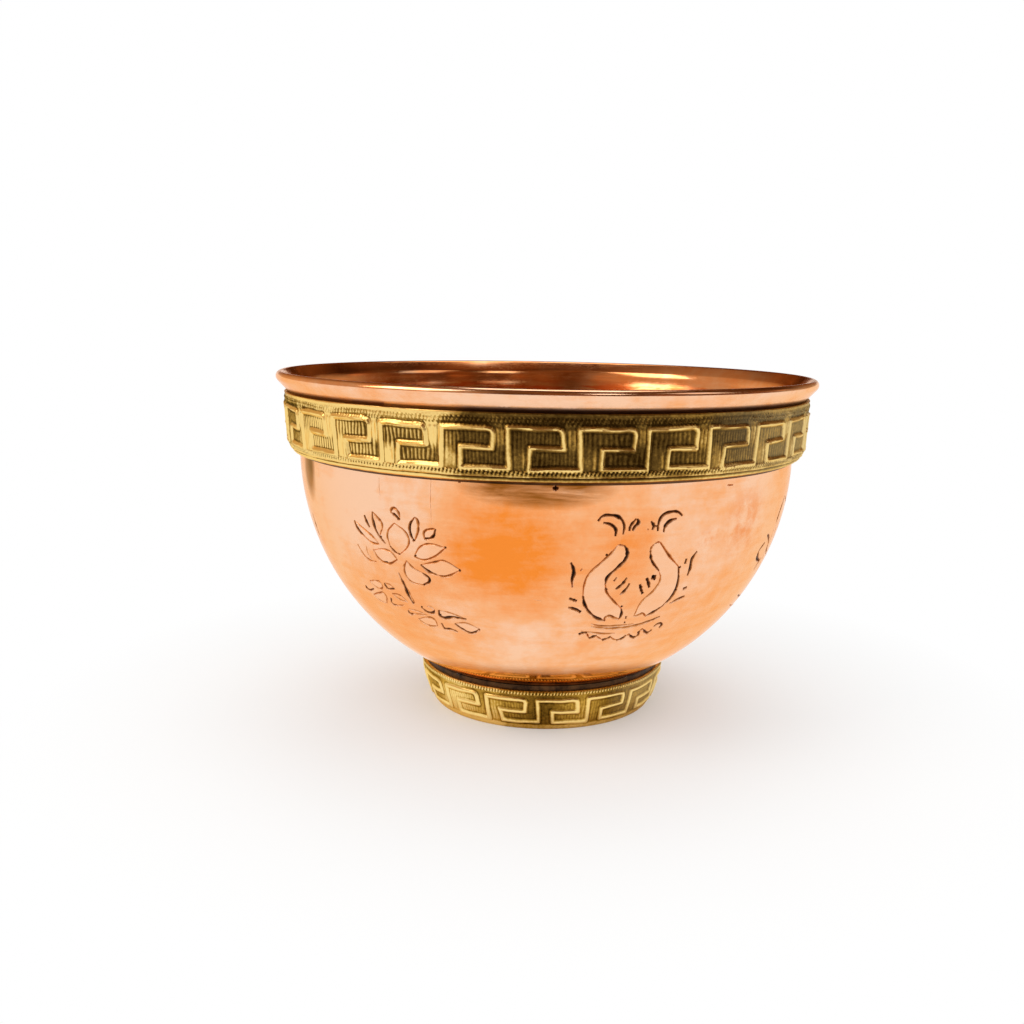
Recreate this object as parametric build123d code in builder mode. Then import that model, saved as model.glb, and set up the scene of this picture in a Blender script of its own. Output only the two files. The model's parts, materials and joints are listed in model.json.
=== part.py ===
# Offering bowl: a spun copper bowl with an everted lip. An embossed brass strip is
# soldered round its rim, and a second one is rolled into the ring that it stands on.
# Millimetres, +Z up. The origin is the middle of the resting face under the foot.
# The front faces -Y. Angles round the bowl are counted from the front, towards +X.

import os
from math import atan2, cos, degrees, radians, sin, sqrt, tan

from build123d import *

# Copper bowl
lip_diameter = 76.0
lip_overhang = 1.6
lip_flare_angle = 48.0
lip_edge_radius = 0.7
neck_round = 1.2
neck_flare = 1.45
rim_rise = 10.8
bowl_wall = 1.0
base_flat_radius = 8.0
base_clearance = 3.0

# Brass strip round the rim
rim_strip_drop = 0.3
rim_strip_height = 8.0
rim_strip_sheet = 0.5
rim_strip_taper = 4.5
rim_seat_gap = 0.05
rim_border_height = 1.5
rim_border_turn_in = 0.75
rim_fret_count = 28
rim_fret_height = 4.75
rim_fret_margin = 0.1
rim_ribbon_width = 0.45
rim_relief = 0.3
rim_seam_angle = 186.0
rim_seam_gap = 0.3
rim_plain_lap = 3.0
rim_solder_leg = 0.35

# Brass strip of the foot
foot_top_radius = 17.7
foot_taper = 16.0
foot_sheet = 0.8
foot_edge_round = 0.15
foot_solder_gap = 0.5
foot_solder_leg = 0.6
foot_solder_inset = 0.35
foot_fret_count = 15
foot_fret_height = 3.75
foot_fret_margin = 1.0
foot_ribbon_width = 0.5
foot_relief = 0.3
foot_seam_angle = 190.0
foot_seam_gap = 0.3

# How far each raised ribbon is rooted in its sheet, and solder stands off the copper
ribbon_root = 0.2
solder_clearance = 0.05

# One cell of the running key fret: its centre line, in pitches across and in heights up
fret_line = [(0, 0), (0, 1), (0.78, 1), (0.78, 0.5), (0.3, 0.5), (0.3, 0), (1, 0)]

# The bowl's own radii and heights, worked out from the driving dimensions
lip_radius = lip_diameter / 2
neck_radius = lip_radius - lip_overhang
belly_radius = neck_radius - neck_flare
inner_radius = belly_radius - bowl_wall
base_height = base_clearance
floor_height = base_height + bowl_wall
belly_height = base_height + sqrt(belly_radius**2 - base_flat_radius**2)
overall_height = belly_height + rim_rise
floor_radius = sqrt(inner_radius**2 - (belly_height - floor_height) ** 2)

# The lip in section: a straight flare that ends in a round edge
flare = radians(lip_flare_angle)
lip_along = Vector(sin(flare), cos(flare))
lip_outward = Vector(cos(flare), -sin(flare))
lip_centre = Vector(lip_radius - lip_edge_radius, overall_height - lip_edge_radius)
lip_under = lip_centre + lip_outward * lip_edge_radius
lip_tip = lip_centre + lip_along * lip_edge_radius
lip_inner = lip_centre - lip_outward * lip_edge_radius

# The neck in section: where the wall's own slight flare turns into the lip
neck_height = lip_under.Y - (lip_under.X - neck_radius) / tan(flare)
neck_rise = neck_height - belly_height
wall_end_angle = 2 * degrees(atan2(neck_flare, neck_rise))
neck_tilt = radians((wall_end_angle + lip_flare_angle) / 2)
neck_half_turn = radians((lip_flare_angle - wall_end_angle) / 2)
neck_outer = Vector(neck_radius, neck_height)
neck_inner = neck_outer + Vector(-cos(neck_tilt), sin(neck_tilt)) * (bowl_wall / cos(neck_half_turn))
wall_flare_radius = (neck_flare**2 + neck_rise**2) / (2 * neck_flare)


def wall_radius(height):
    """Outer radius of the copper wall at a height, below the neck."""
    rise = height - belly_height
    if rise < 0:
        return sqrt(belly_radius**2 - rise**2)
    return belly_radius + wall_flare_radius - sqrt(wall_flare_radius**2 - rise**2)


def belly_underside(radius):
    """Height of the bowl's underside at a radius outside its flat base."""
    return belly_height - sqrt(belly_radius**2 - radius**2)


# The rim strip in section: a tapered face whose lower border turns in to the wall
rim_strip_top = neck_height - rim_strip_drop
rim_strip_bottom = rim_strip_top - rim_strip_height
rim_turn_height = rim_strip_bottom + rim_border_height
rim_face_top = wall_radius(rim_strip_top) + rim_seat_gap + rim_strip_sheet
rim_taper = radians(rim_strip_taper)


def rim_face(height):
    """Outer radius of the rim strip's ground at a height."""
    return rim_face_top - (rim_strip_top - height) * tan(rim_taper)


rim_border_angle = 2 * atan2(rim_border_turn_in, rim_border_height) - rim_taper
rim_edge_outer = Vector(rim_face(rim_turn_height) - rim_border_turn_in, rim_strip_bottom)
rim_edge_inner = rim_edge_outer + Vector(-cos(rim_border_angle), sin(rim_border_angle)) * rim_strip_sheet
rim_down = (-sin(rim_taper), -cos(rim_taper))

# The foot strip in section: a cone that stands on its lower edge, just under the belly
foot_inner_top = foot_top_radius - foot_sheet
foot_height = belly_underside(foot_inner_top) - foot_solder_gap
foot_slope = tan(radians(foot_taper))


def foot_face(height):
    """Outer radius of the foot strip's ground at a height."""
    return foot_top_radius - (foot_height - height) * foot_slope


def arc_angle(length, radius):
    """Angle in degrees that a length takes up round a radius."""
    return degrees(length / radius)


def turned(profile, angle):
    """A section turned about the bowl's axis to an angle from the front."""
    return profile.sketch.rotate(Axis.Z, angle - 90)


def fret_ribs(low, height, ribbon, pitch_angle, ribbon_angle):
    """Start angle, span, lower and upper height of each straight rib in one fret cell."""
    rise = height - ribbon
    ribs = []
    for (across_a, up_a), (across_b, up_b) in zip(fret_line, fret_line[1:]):
        start = min(across_a, across_b) * pitch_angle - ribbon_angle / 2
        span = abs(across_b - across_a) * pitch_angle + ribbon_angle
        bottom = low + min(up_a, up_b) * rise
        top = low + max(up_a, up_b) * rise + ribbon
        ribs.append((start, span, bottom, top))
    return ribs


def rib_section(face, relief, bottom, top):
    """Section of a rib that stands on a sloping face between two heights."""
    with BuildSketch(Plane.XZ) as section:
        with BuildLine():
            Polyline(
                (face(bottom) - ribbon_root, bottom),
                (face(bottom) + relief, bottom),
                (face(top) + relief, top),
                (face(top) - ribbon_root, top),
                close=True,
            )
        make_face()
    return section


# Copper bowl in section, from the flat base round the lip and back to the floor
base_angle = degrees(atan2(base_height - belly_height, base_flat_radius))
floor_angle = degrees(atan2(floor_height - belly_height, floor_radius))
with BuildSketch(Plane.XZ) as bowl_section:
    with BuildLine():
        Line((0, base_height), (base_flat_radius, base_height))
        CenterArc((0, belly_height), belly_radius, base_angle, -base_angle)
        TangentArc((belly_radius, belly_height), neck_outer, tangent=(0, 1))
        Line(neck_outer, lip_under)
        ThreePointArc(lip_under, lip_tip, lip_inner)
        Line(lip_inner, neck_inner)
        TangentArc((inner_radius, belly_height), neck_inner, tangent=(0, 1))
        CenterArc((0, belly_height), inner_radius, floor_angle, -floor_angle)
        Line((floor_radius, floor_height), (0, floor_height))
        Line((0, floor_height), (0, base_height))
    make_face()
    fillet(bowl_section.vertices().sort_by_distance(neck_outer)[0], neck_round)
    fillet(bowl_section.vertices().sort_by_distance(neck_inner)[0], neck_round)

with BuildPart() as bowl_shell:
    revolve(bowl_section.sketch, axis=Axis.Z)
bowl_shell.part.label = "bowl_shell"

# Brass rim strip: an open ring with the key fret raised on it
with BuildSketch(Plane.XZ) as rim_section:
    with BuildLine():
        Line((rim_face_top, rim_strip_top), (rim_face(rim_turn_height), rim_turn_height))
        TangentArc((rim_face(rim_turn_height), rim_turn_height), rim_edge_outer, tangent=rim_down)
        Line(rim_edge_outer, rim_edge_inner)
        TangentArc(
            (rim_face(rim_turn_height) - rim_strip_sheet, rim_turn_height),
            rim_edge_inner,
            tangent=rim_down,
        )
        Line(
            (rim_face(rim_turn_height) - rim_strip_sheet, rim_turn_height),
            (rim_face_top - rim_strip_sheet, rim_strip_top),
        )
        Line((rim_face_top - rim_strip_sheet, rim_strip_top), (rim_face_top, rim_strip_top))
    make_face()

rim_fret_low = rim_turn_height + rim_fret_margin
rim_fret_radius = rim_face(rim_fret_low + rim_fret_height / 2)
rim_seam_span = arc_angle(rim_seam_gap, rim_fret_radius)
rim_lap_span = arc_angle(rim_plain_lap, rim_fret_radius)
rim_pitch = (360 - rim_lap_span) / rim_fret_count
rim_ribbon_span = arc_angle(rim_ribbon_width, rim_fret_radius)
rim_cell_ribs = fret_ribs(
    rim_fret_low, rim_fret_height, rim_ribbon_width, rim_pitch, rim_ribbon_span
)
with BuildPart() as rim_fret_cell:
    for start, span, bottom, top in rim_cell_ribs:
        rib = rib_section(rim_face, rim_relief, bottom, top)
        revolve(turned(rib, start), axis=Axis.Z, revolution_arc=span)

rim_fret_start = rim_seam_angle + rim_lap_span / 2
with BuildPart() as rim_band:
    revolve(
        turned(rim_section, rim_seam_angle + rim_seam_span / 2),
        axis=Axis.Z,
        revolution_arc=360 - rim_seam_span,
    )
    with PolarLocations(0, rim_fret_count, rim_fret_start, rim_pitch * rim_fret_count):
        add(rim_fret_cell.part)
rim_band.part.label = "rim_band"

# Solder that closes the rim strip's butted ends
with BuildPart() as rim_band_seam:
    revolve(
        turned(rim_section, rim_seam_angle - rim_seam_span / 2),
        axis=Axis.Z,
        revolution_arc=rim_seam_span,
    )
rim_band_seam.part.label = "rim_band_seam"

# Solder fillet between the rim strip's turned-in border and the copper wall
rim_solder_low = rim_edge_outer.Y - rim_solder_leg
with BuildSketch(Plane.XZ) as rim_solder_section:
    with BuildLine():
        Polyline(
            (wall_radius(rim_solder_low) + solder_clearance, rim_solder_low),
            rim_edge_outer,
            rim_edge_inner,
            (wall_radius(rim_edge_inner.Y) + solder_clearance, rim_edge_inner.Y),
            close=True,
        )
    make_face()
with BuildPart() as rim_band_solder:
    revolve(rim_solder_section.sketch, axis=Axis.Z)
rim_band_solder.part.label = "rim_band_solder"

# Brass foot strip: an open ring with a wider-set key fret, flat where it stands
with BuildSketch(Plane.XZ) as foot_section:
    with BuildLine():
        Polyline(
            (foot_face(0) - foot_sheet, 0),
            (foot_face(0), 0),
            (foot_top_radius, foot_height),
            (foot_inner_top, foot_height),
            close=True,
        )
    make_face()
    fillet(foot_section.vertices().group_by(Axis.Y)[0], foot_edge_round)

foot_fret_radius = foot_face(foot_fret_margin + foot_fret_height / 2)
foot_seam_span = arc_angle(foot_seam_gap, foot_fret_radius)
foot_ribbon_span = arc_angle(foot_ribbon_width, foot_fret_radius)
foot_pitch = (360 - foot_seam_span - foot_ribbon_span) / foot_fret_count
foot_cell_ribs = fret_ribs(
    foot_fret_margin, foot_fret_height, foot_ribbon_width, foot_pitch, foot_ribbon_span
)
with BuildPart() as foot_fret_cell:
    for start, span, bottom, top in foot_cell_ribs:
        rib = rib_section(foot_face, foot_relief, bottom, top)
        revolve(turned(rib, start), axis=Axis.Z, revolution_arc=span)

foot_ring_start = foot_seam_angle + foot_seam_span / 2
foot_fret_start = foot_ring_start + foot_ribbon_span / 2
with BuildPart() as foot_ring:
    revolve(turned(foot_section, foot_ring_start), axis=Axis.Z, revolution_arc=360 - foot_seam_span)
    with PolarLocations(0, foot_fret_count, foot_fret_start, foot_pitch * foot_fret_count):
        add(foot_fret_cell.part)
foot_ring.part.label = "foot_ring"

# Solder that closes the foot strip's butted ends
with BuildPart() as foot_ring_seam:
    revolve(
        turned(foot_section, foot_seam_angle - foot_seam_span / 2),
        axis=Axis.Z,
        revolution_arc=foot_seam_span,
    )
foot_ring_seam.part.label = "foot_ring_seam"

# Solder between the foot's top edge and the belly, with a fillet inside the ring
foot_solder_low = foot_height - foot_solder_leg
foot_solder_inner = foot_inner_top - foot_solder_leg
foot_solder_outer = foot_top_radius - foot_solder_inset
with BuildSketch(Plane.XZ) as foot_solder_section:
    with BuildLine():
        Polyline(
            (foot_solder_inner, belly_underside(foot_solder_inner) - solder_clearance),
            (foot_face(foot_solder_low) - foot_sheet, foot_solder_low),
            (foot_inner_top, foot_height),
            (foot_solder_outer, foot_height),
            (foot_solder_outer, belly_underside(foot_solder_outer) - solder_clearance),
            close=True,
        )
    make_face()
with BuildPart() as foot_ring_solder:
    revolve(foot_solder_section.sketch, axis=Axis.Z)
foot_ring_solder.part.label = "foot_ring_solder"

os.makedirs("parts", exist_ok=True)
export_step(bowl_shell.part, "parts/bowl_shell.step")
export_step(rim_band.part, "parts/rim_band.step")
export_step(rim_band_seam.part, "parts/rim_band_seam.step")
export_step(rim_band_solder.part, "parts/rim_band_solder.step")
export_step(foot_ring.part, "parts/foot_ring.step")
export_step(foot_ring_seam.part, "parts/foot_ring_seam.step")
export_step(foot_ring_solder.part, "parts/foot_ring_solder.step")
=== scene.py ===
import json
from math import atan2, cos, degrees, pi, radians, sin, sqrt, tan

import bpy
import numpy as np
from mathutils import Matrix, Vector

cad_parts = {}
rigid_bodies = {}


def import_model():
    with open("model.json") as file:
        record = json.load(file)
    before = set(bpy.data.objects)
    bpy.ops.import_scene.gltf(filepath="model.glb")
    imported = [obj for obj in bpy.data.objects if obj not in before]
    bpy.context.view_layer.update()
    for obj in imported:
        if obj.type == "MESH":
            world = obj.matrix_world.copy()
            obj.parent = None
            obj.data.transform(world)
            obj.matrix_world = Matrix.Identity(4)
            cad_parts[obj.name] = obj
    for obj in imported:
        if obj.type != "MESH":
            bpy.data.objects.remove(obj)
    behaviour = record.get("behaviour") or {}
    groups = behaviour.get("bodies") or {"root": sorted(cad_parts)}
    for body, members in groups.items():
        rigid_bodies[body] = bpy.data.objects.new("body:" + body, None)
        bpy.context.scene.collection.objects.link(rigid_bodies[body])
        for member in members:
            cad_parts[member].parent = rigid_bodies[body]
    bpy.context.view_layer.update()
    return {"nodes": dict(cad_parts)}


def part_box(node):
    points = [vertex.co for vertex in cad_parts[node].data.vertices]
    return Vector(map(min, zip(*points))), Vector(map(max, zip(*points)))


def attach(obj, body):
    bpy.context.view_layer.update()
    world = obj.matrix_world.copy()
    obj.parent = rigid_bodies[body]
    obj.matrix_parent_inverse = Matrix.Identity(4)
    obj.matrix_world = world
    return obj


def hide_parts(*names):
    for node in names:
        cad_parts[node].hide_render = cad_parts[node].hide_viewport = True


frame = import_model()

# Pieces are shaped in millimetres and brought to metres when they are finished.
# Angles round the bowl are counted in degrees from the front, which faces -Y, towards +X.
metre = 1000.0


def node_box(node):
    """Lowest and highest corner of a CAD node, in millimetres."""
    low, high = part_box(node)
    return low * metre, high * metre


# Copper bowl, from the frame and the sheet that it is spun from
bowl_low, bowl_high = node_box("bowl_shell")
lip_radius = -bowl_low.x
overall_height = bowl_high.z
base_height = bowl_low.z
lip_overhang = 1.6
lip_flare = radians(43)
lip_edge_radius = 0.7
neck_flare = 1.45
neck_blend = 0.55
rim_rise = 10.8
bowl_wall = 1.0
base_flat_radius = 8.0
floor_height = base_height + bowl_wall
neck_radius = lip_radius - lip_overhang
belly_radius = neck_radius - neck_flare
inner_radius = belly_radius - bowl_wall
belly_height = overall_height - rim_rise
floor_radius = sqrt(inner_radius**2 - (belly_height - floor_height) ** 2)
bowl_facets = 256

# Brass strip round the rim
strip_low, strip_high = node_box("rim_band")
strip_top = strip_high.z
strip_bottom = strip_low.z
strip_sheet = 0.5
strip_taper = radians(4.5)
strip_seat_gap = 0.05
border_height = 1.5
border_turn_in = 0.75
strip_seam_angle = 186.0
strip_seam_gap = 0.3
strip_lap = 3.0
strip_fret_count = 28
strip_fret_low = 38.72
strip_fret_height = 4.6
strip_columns = 1590

# Brass strip of the foot
foot_height = node_box("foot_ring")[1].z
foot_top_radius = 17.7
foot_taper = radians(16)
foot_bow = 0.25
foot_sheet = 0.8
foot_edge_round = 0.15
foot_seam_angle = 190.0
foot_seam_gap = 0.3
foot_fret_count = 15
foot_fret_low = 1.2
foot_fret_height = 3.4
foot_columns = 1200

# How bright the strips' plain edges and backs are rubbed
plain_edge = 0.5

# Heights of the rows stamped above and below the rim strip's fret
upper_row_span = (43.7, 44.6)
lower_row_span = (37.98, 38.5)
bead_height = 37.82
border_line_height = 37.55

# Sharpest bends that are shaded as smooth
bowl_smooth_angle = radians(38)
strip_smooth_angle = radians(50)

# Seeds of the unevenness of the handwork
graver_seed = 8
rim_stamp_seed = 28
foot_stamp_seed = 15

# The lip and the neck in section
lip_centre = Vector((lip_radius - lip_edge_radius, overall_height - lip_edge_radius))
lip_outward = Vector((cos(lip_flare), -sin(lip_flare)))
lip_under = lip_centre + lip_outward * lip_edge_radius
lip_inner = lip_centre - lip_outward * lip_edge_radius
neck_height = lip_under.y - (lip_under.x - neck_radius) / tan(lip_flare)
neck_rise = neck_height - belly_height
flare_radius = (neck_flare**2 + neck_rise**2) / (2 * neck_flare)


def wall_radius(height):
    """Outer radius of the copper wall at a height below the neck."""
    rise = height - belly_height
    if rise < 0:
        return sqrt(belly_radius**2 - rise**2)
    return belly_radius + flare_radius - sqrt(flare_radius**2 - rise**2)


def start_fresh():
    """Leaves edit mode and deselects everything before a new piece is started."""
    if bpy.context.object and bpy.context.object.mode != "OBJECT":
        bpy.ops.object.mode_set(mode="OBJECT")
    bpy.ops.object.select_all(action="DESELECT")


def work_on(piece):
    """Makes one piece the only one selected, and active."""
    start_fresh()
    piece.select_set(True)
    bpy.context.view_layer.objects.active = piece


def to_metres(piece):
    """Brings a finished piece from millimetres to metres, with its place in its mesh."""
    work_on(piece)
    piece.scale = (1 / metre, 1 / metre, 1 / metre)
    bpy.ops.object.transform_apply(location=True, rotation=True, scale=True)


def arc(centre, radius, start, end, count):
    """Points of a round stretch of a section, from one angle to another, in degrees."""
    turns = [radians(start + (end - start) * step / count) for step in range(count + 1)]
    return [(centre[0] + radius * cos(turn), centre[1] + radius * sin(turn)) for turn in turns]


def eased(before, corner, after, count=5):
    """Points that round off a corner of a section between two points on its sides."""
    points = []
    for step in range(count + 1):
        t = step / count
        points.append(
            tuple(
                (1 - t) ** 2 * before[k] + 2 * t * (1 - t) * corner[k] + t**2 * after[k]
                for k in (0, 1)
            )
        )
    return points


def draw_profile(name, points):
    """A wire in the XZ plane, drawn by extruding one vertex from point to point."""
    start_fresh()
    bpy.ops.mesh.primitive_plane_add(size=1)
    piece = bpy.context.object
    piece.name = name
    bpy.ops.object.mode_set(mode="EDIT")
    bpy.ops.mesh.merge(type="CENTER")
    bpy.ops.transform.translate(value=(points[0][0], 0, points[0][1]))
    for (r0, z0), (r1, z1) in zip(points, points[1:]):
        bpy.ops.mesh.extrude_vertices_move(TRANSFORM_OT_translate={"value": (r1 - r0, 0, z1 - z0)})
    return piece


def spin_profile(steps):
    """Spins the wire in edit mode right round the bowl's axis and closes the skin."""
    bpy.ops.mesh.select_all(action="SELECT")
    bpy.ops.mesh.spin(steps=steps, angle=2 * pi, center=(0, 0, 0), axis=(0, 0, 1))
    bpy.ops.mesh.select_all(action="SELECT")
    bpy.ops.mesh.remove_doubles(threshold=0.002)
    bpy.ops.mesh.normals_make_consistent(inside=False)
    bpy.ops.object.mode_set(mode="OBJECT")


def bowl_profile():
    """Section of the bowl from the middle of its base, round the lip, to the middle of its floor."""
    base_angle = degrees(atan2(base_height - belly_height, base_flat_radius))
    floor_angle = degrees(atan2(floor_height - belly_height, floor_radius))
    flare_end = degrees(2 * atan2(neck_flare, neck_rise))
    flare_centre = (belly_radius + flare_radius, belly_height)
    outside = arc((0, belly_height), belly_radius, base_angle, 0, 66)
    flare = arc(flare_centre, flare_radius, 180, 180 - flare_end, 16)
    neck = (neck_radius, neck_height)
    lip_leg = Vector(neck) + Vector((sin(lip_flare), cos(lip_flare))) * neck_blend
    round_lip = arc(lip_centre, lip_edge_radius, degrees(-lip_flare), 180 - degrees(lip_flare), 20)
    inner_neck = lip_inner - Vector((sin(lip_flare), cos(lip_flare))) * (lip_under - Vector(neck)).length
    inner_leg = inner_neck + Vector((sin(lip_flare), cos(lip_flare))) * neck_blend
    inner_flare = arc(flare_centre, flare_radius + bowl_wall, 180 - flare_end * 0.93, 180, 12)
    inside = arc((0, belly_height), inner_radius, 0, floor_angle, 44)
    return (
        [(0, base_height), (base_flat_radius / 2, base_height)]
        + outside
        + flare[1:-1]
        + eased(flare[-2], neck, lip_leg)[1:]
        + round_lip
        + eased(inner_leg, inner_neck, inner_flare[0])
        + inner_flare[1:]
        + inside[1:]
        + [(floor_radius / 2, floor_height), (0, floor_height)]
    )


# The engraved symbols. A stroke is a weight and the points that the graver went through:
# millimetres along the wall from the symbol's middle, and millimetres above the table.
deep, fine, faint, hair, nick, pit = "deep", "fine", "faint", "hair", "nick", "pit"
stroke_half_width = {deep: 0.24, fine: 0.2, faint: 0.17, hair: 0.05, nick: 0.26, pit: 0.38}
stroke_end = {deep: 0.6, fine: 0.55, faint: 0.5, hair: 0.4, nick: 0.8, pit: 0.45}
graver_chatter = 0.25
largest_petal_faces = 600
symbol_radius = 32.7

lotus = [
    (faint, (0.1, 30.9), (-1.2, 29.4), (-1.1, 27.8)),
    (deep, (-1.1, 27.8), (-0.6, 27.2), (0.1, 26.8)),
    (faint, (0.1, 30.9), (1.7, 29.8), (1.8, 28.5), (0.1, 26.8)),
    (deep, (3.1, 32.0), (2.3, 30.8), (2.3, 29.7), (2.7, 28.9)),
    (fine, (3.1, 32.0), (3.4, 31.7), (3.4, 30.5), (2.7, 28.9)),
    (fine, (5.6, 30.8), (5.1, 30.7), (4.2, 30.3), (4.1, 29.4)),
    (deep, (4.1, 29.4), (5.2, 29.7), (5.7, 30.8)),
    (faint, (2.3, 26.9), (3.4, 28.3), (4.8, 28.8), (6.7, 28.5)),
    (fine, (2.3, 26.9), (3.4, 26.6), (5.1, 27.2), (6.7, 28.5)),
    (faint, (3.0, 25.9), (5.1, 26.5), (6.2, 26.8), (8.3, 25.8)),
    (deep, (3.0, 25.9), (4.0, 25.1), (5.0, 24.8)),
    (fine, (5.0, 24.8), (6.1, 24.7), (8.3, 25.8)),
    (faint, (1.0, 26.2), (1.7, 25.4), (3.0, 24.8)),
    (deep, (3.0, 24.8), (3.8, 24.0), (2.7, 23.1)),
    (fine, (1.0, 26.2), (0.3, 24.9), (0.7, 23.5), (2.7, 23.1)),
    (faint, (-0.4, 26.1), (-1.1, 26.9), (-2.3, 27.2), (-4.2, 26.8)),
    (fine, (-4.2, 26.8), (-3.6, 25.8), (-2.2, 25.3), (-0.4, 26.1)),
    (deep, (-3.0, 25.5), (-2.5, 25.35), (-2.0, 25.3)),
    (fine, (-7.1, 27.1), (-6.6, 26.1), (-5.7, 25.3), (-4.2, 25.2)),
    (faint, (-5.4, 27.1), (-5.5, 26.2), (-5.0, 25.5)),
    (deep, (-6.7, 30.3), (-6.3, 29.3), (-5.2, 28.4)),
    (fine, (-5.2, 28.4), (-4.1, 27.8), (-2.9, 27.8)),
    (faint, (-6.7, 30.3), (-4.9, 29.3), (-3.7, 28.6), (-2.9, 27.8)),
    (deep, (-3.2, 31.9), (-3.2, 30.7), (-2.8, 29.2), (-1.8, 28.0)),
    (fine, (-3.2, 31.9), (-2.3, 31.2), (-1.8, 30.5), (-2.4, 29.1)),
    (deep, (-4.6, 31.3), (-4.4, 30.6), (-4.0, 29.8)),
    (fine, (-0.2, 32.1), (-0.1, 32.6), (0.3, 32.8), (0.9, 32.3), (1.0, 31.4)),
    (deep, (-0.2, 32.2), (0.4, 31.9), (1.0, 31.4)),
    (deep, (-0.8, 24.3), (-0.5, 22.6), (-0.3, 20.7), (0.0, 20.0)),
    (fine, (-0.4, 23.3), (-0.1, 21.7), (0.2, 20.2)),
    (faint, (-7.3, 22.0), (-5.9, 22.3), (-4.9, 22.1), (-5.1, 21.4), (-6.3, 21.3), (-7.2, 21.9)),
    (deep, (-9.0, 21.1), (-8.9, 20.6), (-7.1, 20.9)),
    (deep, (-4.1, 22.3), (-4.1, 21.7), (-2.5, 21.8)),
    (faint, (-4.1, 22.3), (-3.2, 22.2), (-2.5, 21.8)),
    (fine, (-8.0, 19.9), (-6.5, 20.4), (-5.1, 20.5), (-5.7, 19.1)),
    (faint, (-5.7, 19.1), (-7.2, 19.3), (-8.0, 19.9)),
    (fine, (-3.4, 20.9), (-1.9, 20.9), (-1.0, 20.1)),
    (faint, (-3.4, 20.9), (-2.4, 20.3), (-1.0, 20.1)),
    (deep, (-4.1, 20.2), (-4.4, 19.3), (-3.5, 19.2)),
    (faint, (-3.5, 19.2), (-2.8, 19.3), (-2.0, 19.5)),
    (deep, (1.1, 19.7), (1.7, 19.2), (2.7, 19.1), (3.2, 19.6)),
    (faint, (3.2, 19.6), (2.8, 20.0), (2.2, 20.0)),
    (faint, (-1.5, 19.0), (0.0, 19.0), (1.6, 18.6)),
    (deep, (-1.8, 18.7), (-1.6, 18.3), (-0.9, 18.4)),
    (faint, (-0.9, 18.4), (0.3, 18.5), (1.6, 18.6)),
    (deep, (3.9, 19.7), (3.8, 18.8), (5.8, 18.9), (7.7, 18.8)),
    (faint, (3.9, 19.7), (6.0, 19.4), (7.7, 18.8)),
    (faint, (-0.4, 17.7), (1.3, 18.2), (2.5, 18.1), (2.6, 17.1)),
    (fine, (2.6, 17.1), (1.4, 16.9), (0.2, 17.2), (-0.4, 17.7)),
    (deep, (3.5, 17.7), (3.7, 16.9), (4.7, 16.9), (5.7, 16.6)),
    (faint, (5.7, 17.9), (7.5, 18.2), (9.4, 17.5)),
    (deep, (5.7, 17.9), (6.8, 17.1), (7.9, 16.7), (9.4, 17.5)),
]

# The graver was dug in where a stroke ends or turns
lotus_nicks = [(2.5, 27.0), (6.7, 28.5), (8.2, 25.7), (-2.3, 25.4), (-2.3, 28.8), (2.6, 29.0), (-9.1, 20.7)]
lotus_nicks += [(-4.0, 21.8), (-4.3, 19.2), (-1.7, 18.6), (3.9, 19.0), (1.2, 19.7), (3.6, 16.8), (8.0, 16.7)]
lotus_nicks += [(9.2, 17.3), (-0.1, 20.1), (4.3, 29.4), (7.6, 18.8), (0.1, 26.9), (0.8, 31.5)]
lotus += [(nick, (across - 0.13, up + 0.06), (across + 0.13, up - 0.06)) for across, up in lotus_nicks]

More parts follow.
